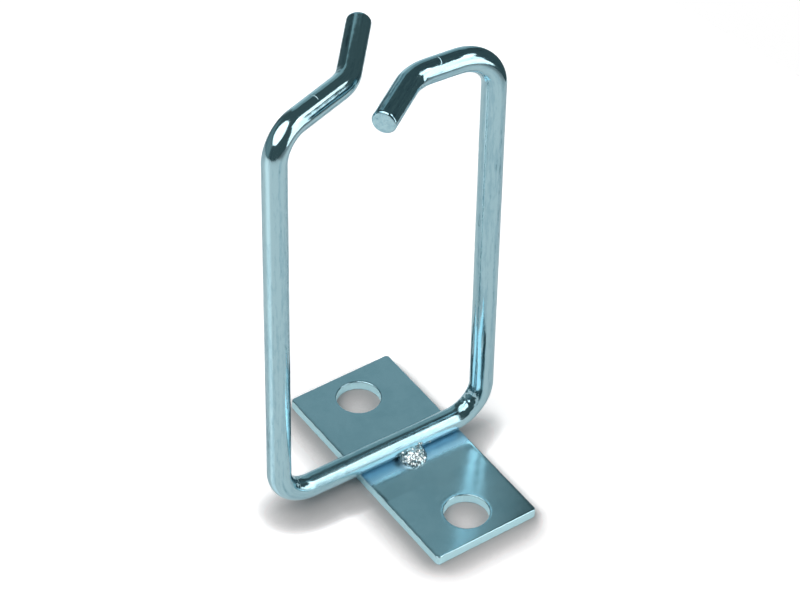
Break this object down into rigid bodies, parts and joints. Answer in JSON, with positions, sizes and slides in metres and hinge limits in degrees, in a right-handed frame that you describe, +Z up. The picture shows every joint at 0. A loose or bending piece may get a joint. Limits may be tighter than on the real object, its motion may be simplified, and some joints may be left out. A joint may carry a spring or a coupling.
{
  "type": "cable management ring",
  "caption": "Upright rectangular wire ring, open at the top between two cranked arms, welded across a flat bolt-on plate to guide cable bundles.",
  "frame": {"origin": "on the underside of the mounting plate, midway between its two bolt holes", "axes": "+Z up along the legs of the ring, +X along the width of the ring towards the leg that stands nearest to the plate, +Y along the plate towards the side to which the long arm is cranked"},
  "size_m": [0.0489, 0.0492, 0.091],
  "materials": {
    "zinc_wire": "bright drawn steel wire, blue-passivated zinc plating, glossy",
    "zinc_plate": "cold-rolled sheet steel, blue-passivated zinc plating, satin-glossy",
    "zinc_weld": "rough weld bead, zinc plated with the rest, sparkling"
  },
  "bodies": {
    "root": {"wire_ring": "zinc_wire", "mounting_plate": "zinc_plate", "weld_bead": "zinc_weld"}
  },
  "joints": []
}
